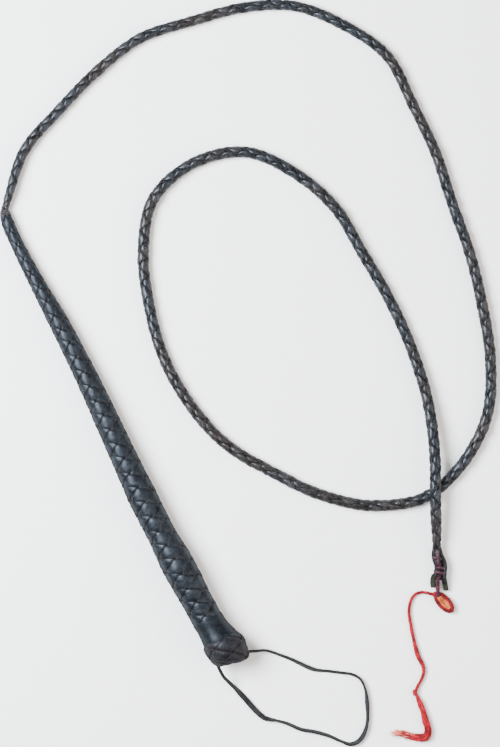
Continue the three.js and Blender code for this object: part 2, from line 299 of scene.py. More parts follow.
def sample_rail(tree, curve, label, **place):
    """The rail's position, directions and named value at a place on it, and its up direction there."""
    value = add(tree, "GeometryNodeInputNamedAttribute", {"Name": label}, data_type="FLOAT")
    (mode, at), = place.items()
    sample = add(tree, "GeometryNodeSampleCurve", mode=mode.upper(), data_type="FLOAT",
                 inputs={"Curves": curve, "Value": value, mode.title(): at}).outputs
    return sample, combine("CROSS_PRODUCT", sample["Normal"], sample["Tangent"])


def label_points(tree, geometry, *parts):
    """Stores the vector that the materials read: the run along a strand, the place across it, the level.
    On a fibre it is the place along the rail, the part of the fibre that is done, and its own shade."""
    return add(tree, "GeometryNodeStoreNamedAttribute", data_type="FLOAT_VECTOR", domain="POINT", inputs={
        "Geometry": geometry, "Name": "strand", "Value": add(tree, "ShaderNodeCombineXYZ", parts)})


def send_out(tree, given, geometry):
    """Ends a tree: makes the geometry real and smooth, and gives it its material."""
    real = add(tree, "GeometryNodeRealizeInstances", {"Geometry": geometry})
    smooth = add(tree, "GeometryNodeSetShadeSmooth", {"Geometry": real})
    coat = add(tree, "GeometryNodeSetMaterial", {"Geometry": smooth, "Material": given["Material"]})
    add(tree, "NodeGroupOutput", {"Geometry": coat})


STRAND_SIZES = {
    "Lead": ("Float", 0.03, "Length of rail in which a strand goes once round"),
    "Each Way": ("Int", 3, "Strands that wind the same way"),
    "Cover": ("Float", 0.95, "Part of the full width that a strand fills"),
    "Slant": ("Float", 0.5, "How far a strand's section leans along the rail"),
    "Thickness": ("Float", 0.0012, "Thickness of a strand"),
    "Rise": ("Float", 0.0006, "How far a strand rises over the ones that it crosses"),
    "Flatness": ("Float", 0.8, "Below 1 the section is flatter across its middle"),
    "Start": ("Float", 0.0, "Angle of the first strand"),
    "Uneven": ("Float", 0.0, "How far a hand-laid strand strays from its place"),
    "Wander": ("Float", 0.0, "Angle that the whole plait wanders to each side as it goes"),
    "Steps": ("Int", 400, "Steps along a strand"),
    "Round": ("Int", 14, "Points round a strand's section"),
}


def strand_tree():
    """One strand wound round a rail. It goes over and under the strands that wind the other way."""
    tree, given = new_tree("Wound strand", {
        **STRAND_SIZES,
        "Strand": ("Float", 0.0, "Which of its family this strand is"),
        "Hand": ("Float", 1.0, "1 for a right-hand winding, -1 for a left-hand one"),
    }, material=False)
    curve = rail_curve(tree, given)
    tube, place, middle = unit_tube(tree, given, curve)
    # Across the strand, from -1 at one edge to 1 at the other.
    across = squared(place["X"], given["Flatness"])
    # How far the point is from the strand's middle, round the rail and along it.
    share = calc("DIVIDE", given["Cover"], given["Each Way"])
    reach = calc("MULTIPLY", across, share)
    leaning = calc("MULTIPLY", reach, given["Slant"])
    aside = calc("MULTIPLY", calc("SUBTRACT", reach, leaning), math.pi)
    ahead = calc("MULTIPLY", leaning, given["Lead"])
    ahead = calc("MULTIPLY", ahead, given["Hand"])
    along = calc("MULTIPLY_ADD", ahead, -0.5, middle)
    # The angle round the rail.
    turns = calc("DIVIDE", middle, given["Lead"])
    turns = calc("MULTIPLY", turns, given["Hand"])
    turns = calc("ADD", turns, calc("DIVIDE", given["Strand"], given["Each Way"]))
    angle = calc("MULTIPLY_ADD", turns, math.tau, aside)
    angle = calc("ADD", angle, given["Start"])
    far = add(tree, "ShaderNodeCombineXYZ", [calc("MULTIPLY", along, WANDER_RATE)])
    drift = calc("SUBTRACT", noise(far, 1.0, 2.0), 0.5)
    angle = calc("MULTIPLY_ADD", drift, given["Wander"], angle)
    # The wave that takes the strand over one and under one.
    both = calc("DIVIDE", calc("ADD", middle, along), given["Lead"])
    half = calc("DIVIDE", aside, math.tau)
    crossing = calc("MULTIPLY_ADD", half, given["Hand"], both)
    crossing = calc("MULTIPLY", crossing, given["Each Way"])
    wave = calc("COSINE", calc("MULTIPLY", crossing, math.pi))
    steep = calc("SQRT", calc("MULTIPLY_ADD", wave, wave, WAVE_SOFTNESS))
    wave = calc("MULTIPLY", calc("DIVIDE", wave, steep), given["Hand"])
    lift = calc("MULTIPLY", wave, given["Rise"])
    # Slow strays from the even winding, different on each strand.
    which = calc("MULTIPLY_ADD", given["Strand"], STRAND_APART, given["Hand"])
    where = add(tree, "ShaderNodeCombineXYZ", [calc("MULTIPLY", along, STRAY_RATE), which, across])
    stray = calc("MULTIPLY", calc("SUBTRACT", noise(where, 1.0, 1.0), 0.5), given["Uneven"])
    # On to the rail.
    sample, up = sample_rail(tree, curve, "swell", length=along)
    height = calc("MULTIPLY", place["Y"], given["Thickness"])
    radius = calc("ADD", calc("MULTIPLY_ADD", height, 0.5, lift), stray)
    outer = calc("ADD", radius, sample["Value"])
    side = scaled(sample["Normal"], calc("COSINE", angle))
    above = scaled(up, calc("SINE", angle))
    spot = scaled(combine("ADD", side, above), outer)
    spot = combine("ADD", spot, sample["Position"])
    full = calc("MULTIPLY_ADD", given["Rise"], 2.0, given["Thickness"])
    level = calc("ADD", calc("DIVIDE", radius, full), 0.5)
    stored = label_points(tree, tube, middle, across, level)
    wound = add(tree, "GeometryNodeSetPosition", {"Geometry": stored, "Position": spot})
    add(tree, "NodeGroupOutput", [wound])
    return tree


def plait_tree(*strands):
    """The given strands, each (number, hand), round one rail, joined and given their material."""
    tree, given = new_tree("Plait", STRAND_SIZES)
    wound = bpy.data.node_groups.get("Wound strand") or strand_tree()
    join = add(tree, "GeometryNodeJoinGeometry")
    for number, hand in strands:
        one = add(tree, "GeometryNodeGroup", node_tree=wound)
        for label in ("Rail", *STRAND_SIZES):
            tree.links.new(given[label], one.inputs[label])
        one.inputs["Strand"].default_value = number
        one.inputs["Hand"].default_value = hand
        tree.links.new(one.outputs[0], join.inputs[0])
    send_out(tree, given, join)
    return tree


LACE_SIZES = {
    "Width": ("Float", 0.004, "Width of the lace"),
    "Thickness": ("Float", 0.001, "Thickness of the lace"),
    "Squareness": ("Float", 0.55, "Below 1 the section's corners are squarer"),
    "Steps": ("Int", 200, "Steps along the lace"),
    "Round": ("Int", 16, "Points round the lace's section"),
}


def lace_tree():
    """A flat lace along a rail, turned about it by the rail's own turn."""
    tree, given = new_tree("Lace", LACE_SIZES)
    curve = rail_curve(tree, given)
    tube, place, along = unit_tube(tree, given, curve)
    sample, up = sample_rail(tree, curve, "turn", length=along)
    across = squared(place["X"], given["Squareness"])
    offsets = []
    for axis, bent, size in (
        (sample["Normal"], across, "Width"), (up, squared(place["Y"], given["Squareness"]), "Thickness"),
    ):
        turned = add(tree, "ShaderNodeVectorRotate", rotation_type="AXIS_ANGLE", inputs={
            "Vector": axis, "Center": (0, 0, 0), "Axis": sample["Tangent"], "Angle": sample["Value"]})
        reach = calc("MULTIPLY", bent, calc("MULTIPLY", given[size], 0.5))
        offsets.append(scaled(turned, reach))
    spot = combine("ADD", combine("ADD", *offsets), sample["Position"])
    stored = label_points(tree, tube, along, across, PLAIN_LEVEL)
    send_out(tree, given, add(tree, "GeometryNodeSetPosition", {"Geometry": stored, "Position": spot}))
    return tree


FIBRE_SIZES = {
    "Fibres": ("Int", 80, "How many fibres"),
    "Fibre Radius": ("Float", 0.0002, "Radius of a fibre"),
    "Shortest": ("Float", 0.55, "Length of the shortest fibre, as a part of the rail"),
    "Stray": ("Float", 0.001, "How far a fibre wanders from its place"),
    "Clumps": ("Int", 6, "Yarns that the fibres still keep together in"),
    "Twist": ("Float", 3.0, "Angle that the yarns still turn along the rail"),
    "Steps": ("Int", 30, "Points along a fibre"),
    "Seed": ("Int", 5, "Seed of the fibres' places"),
}


def fibre_tree():
    """A bundle of loose fibres that follow a rail, each with its own place, length and waves."""
    tree, given = new_tree("Fibres", FIBRE_SIZES)
    curve = rail_curve(tree, given)
    even = add(tree, "GeometryNodeResampleCurve", {"Curve": curve, "Count": given["Steps"]}, mode="COUNT")
    many = add(tree, "GeometryNodeDuplicateElements", {"Geometry": even, "Amount": given["Fibres"]},
               domain="SPLINE")
    number = many.outputs["Duplicate Index"]
    chance = {}
    for label, order in (("end", 0.0), ("angle", 2.0), ("out", 3.0), ("shade", 4.0)):
        seed = calc("ADD", given["Seed"], order)
        chance[label] = add(tree, "FunctionNodeRandomValue", data_type="FLOAT",
                            inputs={"ID": number, "Seed": seed}).outputs[1]
    part = add(tree, "GeometryNodeSplineParameter").outputs["Factor"]
    spare = calc("SUBTRACT", 1.0, given["Shortest"])
    whole = calc("MULTIPLY_ADD", chance["end"], spare, given["Shortest"])
    factor = calc("MULTIPLY", part, whole)
    sample, up = sample_rail(tree, curve, "swell", factor=factor)
    # The fibre's place round the rail, drawn in towards the middle of its clump.
    clump = calc("MULTIPLY", chance["angle"], given["Clumps"])
    middle = calc("FLOOR", clump)
    clump = calc("MULTIPLY_ADD", calc("SUBTRACT", clump, middle), CLUMP_SPREAD, middle)
    angle = calc("MULTIPLY", calc("DIVIDE", clump, given["Clumps"]), math.tau)
    angle = calc("MULTIPLY_ADD", factor, given["Twist"], angle)
    out = calc("MULTIPLY", calc("SQRT", chance["out"]), sample["Value"])
    side = scaled(sample["Normal"], calc("MULTIPLY", calc("COSINE", angle), out))
    above = scaled(up, calc("MULTIPLY", calc("SINE", angle), out))
    spot = combine("ADD", combine("ADD", side, above), sample["Position"])
    # The waves, which grow towards the fibre's end.
    where = add(tree, "ShaderNodeCombineXYZ", [
        calc("MULTIPLY", factor, FIBRE_WAVES), calc("MULTIPLY", number, FIBRE_APART), 0.0])
    wander = combine("SUBTRACT", noise(where, 1.0, 2.0).outputs["Color"], (0.5, 0.5, 0.5))
    wander = scaled(wander, calc("MULTIPLY", part, given["Stray"]))
    spot = combine("ADD", spot, wander)
    laid = add(tree, "GeometryNodeSetPosition", {"Geometry": many, "Position": spot})
    stored = label_points(tree, laid, factor, part, chance["shade"])
    section = add(tree, "GeometryNodeCurvePrimitiveCircle", {"Resolution": 6, "Radius": given["Fibre Radius"]})
    send_out(tree, given, add(tree, "GeometryNodeCurveToMesh", {
        "Curve": stored, "Profile Curve": section, "Fill Caps": True}))
    return tree


def grow(name, rail, tree, material, **sizes):
    """Runs the tree on the rail and keeps the result as a plain mesh."""
    modifier = rail.modifiers.new("Grow", "NODES")
    modifier.node_group = tree
    wanted = {key.replace("_", " ").title(): value for key, value in sizes.items()}
    wanted["Material"] = material
    for socket in tree.interface.items_tree:
        if socket.in_out == "INPUT" and socket.name in wanted:
            modifier[socket.identifier] = wanted.pop(socket.name)
    if wanted:
        raise RuntimeError(f"{name}: the tree has no input named {sorted(wanted)}")
    bpy.context.view_layer.update()
    evaluated = rail.evaluated_get(bpy.context.evaluated_depsgraph_get())
    mesh = bpy.data.meshes.new_from_object(evaluated)
    rail.modifiers.remove(modifier)
    bpy.data.objects.remove(rail)
    return make_piece(name, mesh, material)


def signed_volume(mesh):
    """Six times the volume inside the mesh, which is negative when its faces point inwards."""
    mesh.calc_loop_triangles()
    corners = np.empty(len(mesh.loop_triangles) * 3, np.int32)
    mesh.loop_triangles.foreach_get("vertices", corners)
    a, b, c = places_of(mesh)[corners.reshape(-1, 3)].transpose(1, 0, 2)
    return float(np.einsum("ij,ij->", a, np.cross(b, c)))


def places_of(mesh):
    places = np.empty(len(mesh.vertices) * 3)
    mesh.vertices.foreach_get("co", places)
    return places.reshape(-1, 3)


def move_points(mesh, places):
    mesh.vertices.foreach_set("co", places.ravel())
    mesh.update()


def make_piece(name, mesh, material):
    if signed_volume(mesh) < 0:
        mesh.flip_normals()
    mesh.name = name
    mesh.materials.clear()
    mesh.materials.append(material)
    piece = bpy.data.objects.new(name, mesh)
    bpy.context.scene.collection.objects.link(piece)
    return piece


# ---- Finishes


def linear(code):
    """A linear colour from an sRGB hex value such as 1a2b3c."""
    parts = [int(code[i:i + 2], 16) / 255 for i in (0, 2, 4)]
    return (*(c / 12.92 if c <= 0.04045 else ((c + 0.055) / 1.055) ** 2.4 for c in parts), 1.0)


def new_material(name, **values):
    """A material with one principled shader, whose plain values are set on its own sockets."""
    material = bpy.data.materials.new(name)
    material.use_nodes = True
    tree = material.node_tree
    shader = tree.nodes["Principled BSDF"]
    for key, value in values.items():
        shader.inputs[key.replace("_", " ")].default_value = value
    spot = add(tree, "ShaderNodeTexCoord").outputs["Object"]
    return material, tree, shader, spot


def strand_label(tree):
    """The parts X, Y and Z of the vector that label_points stored."""
    strand = add(tree, "ShaderNodeAttribute", attribute_name="strand")
    return add(tree, "ShaderNodeSeparateXYZ", [strand.outputs["Vector"]]).outputs


def blend(factor, first, second, **settings):
    """Mixes two colours, each a hex value or a socket."""
    tree = tree_of(factor, first, second)
    first, second = (linear(c) if isinstance(c, str) else c for c in (first, second))
    mixed = add(tree, "ShaderNodeMix", {0: factor, 6: first, 7: second}, data_type="RGBA", **settings)
    return mixed.outputs[2]


def dress(tree, shader, colour, height=None, strength=0.0, depth=0.0):
    """Gives the shader its colour and, from a height, its relief."""
    tree.links.new(colour, shader.inputs["Base Color"])
    if height:
        bump = add(tree, "ShaderNodeBump", {"Height": height, "Strength": strength, "Distance": depth})
        tree.links.new(bump.outputs[0], shader.inputs["Normal"])


def dyed_leather(name, dark, light, edge, wear_and_highlight, drift=None, roughness=0.33, coat=0.03):
    """Cowhide dyed black through, cut to laces, then greased and polished. The dye is a little bluish where it
    is thick, the cut edges show the brown of the hide, darkened as painted shade where the strands meet in the
    seams, the high spots are rubbed pale and carry a painted highlight, and the seams are darkened with painted
    shade."""
    material, tree, shader, spot = new_material(
        name, Coat_Weight=coat, Coat_Roughness=0.3, IOR=1.3, Specular_IOR_Level=0.42,
        Specular_Tint=(0.62, 0.7, 0.82, 1.0))
    label = strand_label(tree)
    # Patches of dye about 9 mm across, and a finer mottle of 2 mm.
    patches = noise(spot, 9 * MM, 4.0)
    mottle = noise(spot, 2 * MM, 3.0)
    tone = remap(calc("MULTIPLY", patches, mottle), 0.12, 0.42)
    # The dye has faded unevenly along the hide, over some 60 mm.
    faded = remap(noise(spot, 60 * MM, 1.0), 0.42, 0.6)
    colour = blend(tone, dark, blend(faded, light, drift or light))
    # The cut edges: the hide's tone, whose colour is also painted shade along the strands' sides, where they
    # dip into the seams.
    ragged = calc("MULTIPLY_ADD", mottle, 0.24, calc("ABSOLUTE", label["Y"]))
    cut_edge_and_shade = remap(ragged, 0.94, 1.1, to_high=0.7)
    colour = blend(cut_edge_and_shade, colour, edge)
    # The high spots: rubbed pale, and lightened further as a painted highlight on each strand's crown.
    scuff = noise(spot, 0.8 * MM, 5.0, Roughness=0.7)
    rubbed_and_highlight = remap(calc("MULTIPLY", label["Z"], scuff), 0.46, 0.7, to_high=0.5)
    colour = blend(rubbed_and_highlight, colour, wear_and_highlight)
    # Painted shade in the seams: the lower the surface lies, the darker its colour.
    seam_shade = remap(label["Z"], 0.3, 0.66, 0.06)
    colour = blend(1.0, colour, seam_shade, blend_type="MULTIPLY")
    # The polish is only on the crowns: down in the seams the leather stays dull.
    gloss = remap(mottle, 0.3, 0.7, roughness - 0.08, roughness + 0.14)
    gloss = calc("ADD", gloss, remap(label["Z"], 0.55, 0.72, 0.5, 0.0))
    gloss = calc("MULTIPLY_ADD", cut_edge_and_shade, 0.4, gloss)
    # Seen along the surface, the grease film breaks up and the leather shows no sheen.
    glancing = add(tree, "ShaderNodeLayerWeight", {"Blend": 0.5}).outputs["Facing"]
    gloss = calc("ADD", gloss, remap(glancing, 0.3, 0.75, to_high=0.6))
    tree.links.new(gloss.outputs[0], shader.inputs["Roughness"])
    # Grain: small pores, and creases along the hide.
    pores = add(tree, "ShaderNodeTexVoronoi", {"Vector": spot, "Scale": 1 / PORE}, feature="DISTANCE_TO_EDGE")
    grain = calc("MULTIPLY_ADD", pores, 0.2, noise(spot, 3.2 * MM, 6.0))
    dress(tree, shader, colour, grain, 0.6, 0.45 * MM)
    return material


def twisted_yarn(name, dark, light, tip=None):
    """Spun yarn, twisted hard: dull, hairy, darker between its fibres. Towards a frayed tip it is faded."""
    material, tree, shader, spot = new_material(
        name, Roughness=0.8, Sheen_Weight=0.05, Sheen_Roughness=0.5, IOR=1.3)
    label = strand_label(tree)
    hairs = noise(spot, YARN_HAIR, 3.0)
    both = calc("MULTIPLY_ADD", hairs, 0.6, noise(spot, 5 * MM, 2.0))
    if tip:  # each fibre took the dye a little differently
        both = calc("MULTIPLY_ADD", label["Z"], 0.5, both)
        both = calc("SUBTRACT", both, 0.25)
    colour = blend(remap(both, 0.6, 1.05), dark, light)
    if tip:
        colour = blend(remap(label["Y"], 0.9, 1.0, to_high=0.85), colour, tip)
    dress(tree, shader, colour, hairs, 0.6, 0.15 * MM)
    return material


def grained(name, dark, light, scale, stretch, roughness):
    """A plain hidden material with a lengthwise grain, such as split cane or raw hide."""
    material, tree, shader, spot = new_material(name, Roughness=roughness, IOR=1.5)
    drawn = add(tree, "ShaderNodeMapping", {"Vector": spot, "Scale": (1.0, stretch, 1.0)})
    grain = noise(drawn, scale, 5.0)
    dress(tree, shader, blend(grain, dark, light), grain, 0.4, 0.2 * MM)
    return material


def studio_floor():
    """Matt white board: almost white, with no visible texture."""
    material, tree, shader, spot = new_material("Matt white board", Roughness=0.9, IOR=1.45)
    dress(tree, shader, blend(noise(spot, 3 * MM, 2.0), "f7f7f6", "fbfbfb"))
    return material


# ---- The handle's shapes


BOW_LINE = smooth_curve([(*point, 0.0) for point in HANDLE_BOW], 8)


def bow(distance):
    """How far the handle's axis is to the right of straight at the distance from the heel's end face."""
    return np.interp(np.asarray(distance) / MM, BOW_LINE[:, 0], BOW_LINE[:, 1]) * MM


def on_handle(distance, radius=0.0, angle=0.0):
    """A point at the distance from the heel's end face, and at the radius and angle round the axis."""
    side = Vector((1, 0, 0))
    up = side.cross(HANDLE_DIRECTION)
    out = side * math.cos(angle) + up * math.sin(angle)
    return HEEL_END + HANDLE_DIRECTION * distance + side * float(bow(distance)) + out * radius


def outline(distance):
    """The handle's radius over its plait."""
    stations, radii = zip(*HANDLE_OUTLINE)
    return float(np.interp(distance / MM, stations, radii)) * MM


def turned_piece(name, profile, material, segments=96, wobble=0.0):
    """A closed shape turned about the handle's axis from (distance, radius) points, both ends on the axis
    or the last point meeting the first. A wobble makes it look pressed and stitched by hand."""
    rings = []
    for distance, radius in profile:
        ring = []
        for k in range(segments):
            angle = math.tau * k / segments
            # Two waves that cross, round the piece and along it.
            stray = wobble * math.sin(3 * angle + 150 * distance) * math.sin(5 * angle - 110 * distance)
            ring.append(on_handle(distance, radius + stray, angle))
        rings.append(ring)
    closed = profile[0] == profile[-1]
    if closed:
        rings.pop()
    count = len(rings)
    verts = [tuple(p) for ring in rings for p in ring]
    faces = []
    for i in range(count if closed else count - 1):
        for k in range(segments):
            near, far = i * segments, (i + 1) % count * segments
            faces.append((near + k, near + (k + 1) % segments, far + (k + 1) % segments, far + k))
    if not closed:
        faces.append(tuple(range(segments)))
        faces.append(tuple((count - 1) * segments + k for k in reversed(range(segments))))
    mesh = bpy.data.meshes.new(name)
    mesh.from_pydata(verts, [], faces)
    mesh.shade_smooth()
    label = mesh.attributes.new("strand", "FLOAT_VECTOR", "POINT")
    label.data.foreach_set("vector", np.tile([0.0, 0.0, PLAIN_LEVEL], len(verts)))
    return make_piece(name, mesh, material)


def rounded_profile(points, radius=0.0004, cuts=4):
    """The profile with each inner corner rounded off."""
    out = [points[0]]
    for before, corner, after in zip(points, points[1:], points[2:]):
        p, q, r = (np.array(x) for x in (before, corner, after))
        reach = min(radius, np.linalg.norm(q - p) / 2.1, np.linalg.norm(r - q) / 2.1)
        first = q + (p - q) / np.linalg.norm(p - q) * reach
        last = q + (r - q) / np.linalg.norm(r - q) * reach
        for t in np.linspace(0, 1, cuts + 1):
            out.append(tuple((1 - t) ** 2 * first + 2 * t * (1 - t) * q + t**2 * last))
    return [*out, points[-1]]


def curl(piece, profile, swell):
    """Bends a piece made round the straight line +Y at radius swell on to the profile, round the handle."""
    run = runs(profile)
    x, y, z = places_of(piece.data).T
    distance = np.interp(y, run, profile[:, 0])
    radius = np.interp(y, run, profile[:, 1])
    slope = np.gradient(profile, run, axis=0)
    slope /= np.linalg.norm(slope, axis=1)[:, None]
    ahead, outward = (np.interp(y, run, slope[:, i]) for i in (0, 1))
    lift = np.hypot(x, z) - swell
    distance, radius = distance - outward * lift, radius + ahead * lift
    angle = np.arctan2(z, x)
    side = np.array((1.0, 0.0, 0.0))
    along = np.array(HANDLE_DIRECTION)
    up = np.cross(side, along)
    move_points(piece.data, (
        np.array(HEEL_END) + distance[:, None] * along
        + (radius * np.cos(angle) + bow(distance))[:, None] * side + (radius * np.sin(angle))[:, None] * up))
    if signed_volume(piece.data) < 0:
        piece.data.flip_normals()


def lean(piece):
    """Sets the heel's end face aslant, as on a knot that was pulled tight by hand."""
    places = places_of(piece.data)
    slant = np.where(places[:, 0] < 0, *HEEL_LEAN)
    places[:, 1] -= places[:, 0] * slant * np.interp(places[:, 1] - HEEL_END.y, (0, HEEL_LEAN_RUN), (1, 0))
    move_points(piece.data, places)


def level_hairpin(leg_end, leg_spacing, bend):
    """A lace doubled back on itself, in millimetres: along +Y, with its bend's middle at the origin, and
    (distance, offset) points down one leg, round the bend and up the other. The legs close in behind it."""
    spread = -bend * 1.7
    narrow = spread - 5.6
    leg = [(leg_end, leg_spacing), (min(leg_end * 0.8, narrow - 1), leg_spacing), (narrow, leg_spacing),
           (spread, bend * 0.94)]
    arc = [(-bend + bend * math.cos(a), bend * math.sin(a)) for a in np.linspace(math.pi / 2, -math.pi / 2, 7)]
    return [*leg, *arc, *((y, -z) for y, z in reversed(leg))]


def laid(points, origin, direction, offset_axis):
    """Places (distance, offset) points, in millimetres, along a direction from an origin, in metres."""
    return [tuple(origin + direction * (y * MM) + offset_axis * (z * MM)) for y, z in points]


# ---- Settings


def length_setting(name, text, default, low, high):
    """A length, given in millimetres."""
    return bpy.props.FloatProperty(name=name, description=text, default=default * MM, min=low * MM,
                                   max=high * MM, unit="LENGTH", precision=4)


def dye_setting(name, text, default):
    return bpy.props.StringProperty(name=name, description=text, default=default)


class WhipSizes(bpy.types.PropertyGroup):
    """The sizes that change how the whip is plaited and tied."""

    handle_lead: length_setting("Handle lead", "Length in which a handle strand goes once round", 43, 20, 80)
    handle_strand: length_setting("Handle strand", "Thickness of the handle's strands", 1.3, 0.5, 3)
    handle_rise: length_setting(
        "Handle rise", "How far a handle strand rises over the one that it crosses", 0.62, 0.1, 2)
    thong_lead: length_setting("Thong lead", "Length in which a thong strand goes once round", 32, 15, 80)
    thong_strand: length_setting("Thong strand", "Thickness of the thong's strands", 2.0, 0.5, 4)
    thong_rise: length_setting(
        "Thong rise", "How far a thong strand rises over the one that it crosses", 0.7, 0.1, 2)
    lace_width: length_setting("Lace width", "Width of the flat wrist lace", 5.0, 2, 8)
    lace_thickness: length_setting("Lace thickness", "Thickness of the flat wrist lace", 2.0, 0.5, 3)
    tassel_fibres: bpy.props.IntProperty(
        name="Tassel fibres", description="How many fibres the frayed end of the cracker has",
        default=120, min=20, max=400)


class WhipColours(bpy.types.PropertyGroup):
    """The dyes, as sRGB hex values."""

    leather_dark: dye_setting("Leather, deep", "The black dye where it is thickest", "07080a")
    leather_light: dye_setting("Leather, thin", "The black dye where it is thin", "1f2226")
    # The cut edge's colour is near black: it is also the painted shade along the seams between the strands.
    leather_edge_and_shade: dye_setting("Cut edge", "The hide's brown at the cut edges", "0c0806")
    # The rubbed colour is also a painted highlight on the strands' crowns.
    leather_wear_and_highlight: dye_setting("Rubbed", "High spots that are rubbed pale", "3b434d")
    string_dark: dye_setting("Cracker, deep", "The red yarn between its fibres", "540310")
    string_light: dye_setting("Cracker, light", "The red yarn's surface", "b40d1d")
    tassel_tip: dye_setting("Frayed tip", "The faded ends of the cracker's fibres", "e88a78")


def sizes():
    return bpy.context.scene.whip_sizes


def finish(key):
    """The material of the given use, made once."""
    c = bpy.context.scene.whip_colours
    recipes = {
        # Dyed leathers: deep dye, thin dye, cut edge and painted seam shade, rubbed and painted highlight,
        # faded dye, roughness, coat.
        "handle": (dyed_leather, "Waxed black plaiting cowhide",
                   c.leather_dark, c.leather_light, c.leather_edge_and_shade, c.leather_wear_and_highlight),
        "thong": (dyed_leather, "Greased black thong cowhide",
                  "050506", "1e2125", "0c0806", "6a6c70", "2b2521", 0.22, 0.1),
        "knot": (dyed_leather, "Burnished black knot lace",
                 "08080a", "1a2027", "120a09", "3a414a", "1e191b", 0.42),
        "band": (dyed_leather, "Smooth black band leather", "08090b", "171c21", "20140f", "363d46"),
        "lace": (dyed_leather, "Black lace leather", "0b0b0b", "2b2a29", "1a1817", "5d5b58"),
        "hitch": (dyed_leather, "Black lace leather with a plum stain",
                  "10070a", "3a1a24", "2a0f18", "7d5561", "2a1b1c"),
        "tail": (dyed_leather, "Worn olive-grey strand end", "15160f", "33352b", "2e261b", "5c5e50"),
        "thread": (dyed_leather, "Grey lace leather, wound tight", "1c1a1b", "454042", "2a2221", "7a7274"),
        # Yarns: between the fibres, surface, faded tip.
        "string": (twisted_yarn, "Spun red cracker yarn", c.string_dark, c.string_light),
        "loop": (twisted_yarn, "Crimson laid cord", "3a040c", "8a0b17"),
        "inner": (twisted_yarn, "Orange laid cord", "84300f", "d2733a"),
        "fall": (twisted_yarn, "Plum twisted lace", "240c18", "5c2238"),
        "tassel": (twisted_yarn, "Frayed red cracker yarn", "560310", "b80f20", c.tassel_tip),
        # Hidden materials: two tones, grain size, stretch, roughness.
        "cane": (grained, "Split and scraped cane", "8f6b3f", "c9a56e", 0.8 * MM, 0.08, 0.55),
        "hide": (grained, "Undyed hide, wound and glued", "120d0a", "2a1e17", 1.5 * MM, 0.5, 0.8),
    }
    maker, name, *values = recipes[key]
    return bpy.data.materials.get(name) or maker(name, *values)


def on_body(piece, body, slot, node):
    """Rides the piece on its body and hides the node that it stands for. Its slot is not used."""
    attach(piece, body)
    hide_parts(node)


def lay(name, place, look, line, tree, swell=0.0, turn=0.0, **values):
    """Grows a piece along the line and sets it in its place, which is (body, slot, node)."""
    rail = make_rail(name + " rail", line, swell, turn)
    piece = grow(name, rail, tree, finish(look), **values)
    on_body(piece, *place)
    return piece


# ---- Operators


class WHIP_OT_stage(bpy.types.Operator):
    """Makes the camera, the floor and the soft lights"""

    bl_idname = "whip.stage"
    bl_label = "Stage"

    def execute(self, context):
        data = bpy.data.cameras.new("Camera")
        data.lens, data.sensor_width, data.sensor_height = 135, 36, 36
        data.sensor_fit = "VERTICAL"
        camera = bpy.data.objects.new("Camera", data)
        height = PICTURE_LENGTH * data.lens / data.sensor_height + 5 * MM
        camera.location = STAGE_MIDDLE + Vector((0, 0, height))
        camera.rotation_euler = (0, 0, -CAMERA_TURN)
        context.scene.collection.objects.link(camera)
        context.scene.camera = camera
        bpy.ops.mesh.primitive_plane_add(size=12, location=(STAGE_MIDDLE.x, STAGE_MIDDLE.y, -0.2 * MM))
        floor = context.object
        floor.name = "Floor"
        floor.data.materials.append(studio_floor())
        # A broad light from the upper left of the camera's picture, and a weaker one opposite.
        for name, place, size, power, tint in (
            ("Key", (-0.75, 0.75, 1.5), 1.2, 175, (0.9, 0.95, 1.0)),
            ("Fill", (1.7, -1.3, 1.6), 2.6, 95, (1.0, 0.92, 0.85)),
            ("Top", (0.13, 0.0, 3.6), 3.0, 35, (1.0, 1.0, 1.0)),
        ):
            lamp = bpy.data.lights.new(name, "AREA")
            lamp.shape, lamp.size, lamp.energy, lamp.color = "DISK", size, power, tint
            light = bpy.data.objects.new(name, lamp)
            light.location = place
            light.rotation_euler = (STAGE_MIDDLE - Vector(place)).to_track_quat("-Z", "Y").to_euler()
            context.scene.collection.objects.link(light)
        # A pale backdrop that gives only a little light of its own, so that black leather keeps its depth.
        world = bpy.data.worlds.new("Studio")
        world.use_nodes = True
        tree = world.node_tree
        seen = add(tree, "ShaderNodeLightPath").outputs["Is Camera Ray"]
        strength = remap(seen, 0.0, 1.0, 0.14, 0.9)
        tree.links.new(strength.outputs[0], tree.nodes["Background"].inputs["Strength"])
        tree.nodes["Background"].inputs["Color"].default_value = (1, 1, 1, 1)
        context.scene.world = world
        return {"FINISHED"}


class WHIP_OT_thong(bpy.types.Operator):
    """Plaits the thong: four strands round its laid route"""

    bl_idname = "whip.thong"
    bl_label = "Thong"

    def execute(self, context):
        s = sizes()
        start = (PIVOT.x / MM + 1.0, PIVOT.y / MM + 1.1, PIVOT.z / MM)
        line = line_through(metres([start, *THONG_ROUTE]), 3 * MM) + (0, 0, THONG_LIFT)
        length = run_length(line)
        full = THONG_RADIUS - s.thong_rise - s.thong_strand / 2
        # Thin at the neck, thicker towards the far end, and drawn in again where the hitch begins.
        swell = full * np.interp(
            np.linspace(0, length, len(line)), (0, 8 * MM, 45 * MM, 0.4, 0.7, length - 30 * MM, length),
            (0.4, 0.7, 1, 1, 1.13, 1.13, 0.7))
        thong = lay(
            "thong_plait", ("thong", "thong_leather", "thong"), "thong", line,
            plait_tree((0, 1), (1, 1), (0, -1), (1, -1)), swell, lead=s.thong_lead, each_way=2, cover=0.97,
            slant=0.45, thickness=s.thong_strand, rise=s.thong_rise, flatness=0.85, start=math.pi / 4,
            uneven=1.5 * MM, wander=1.6, steps=1300, round=14)
        return {"FINISHED"}


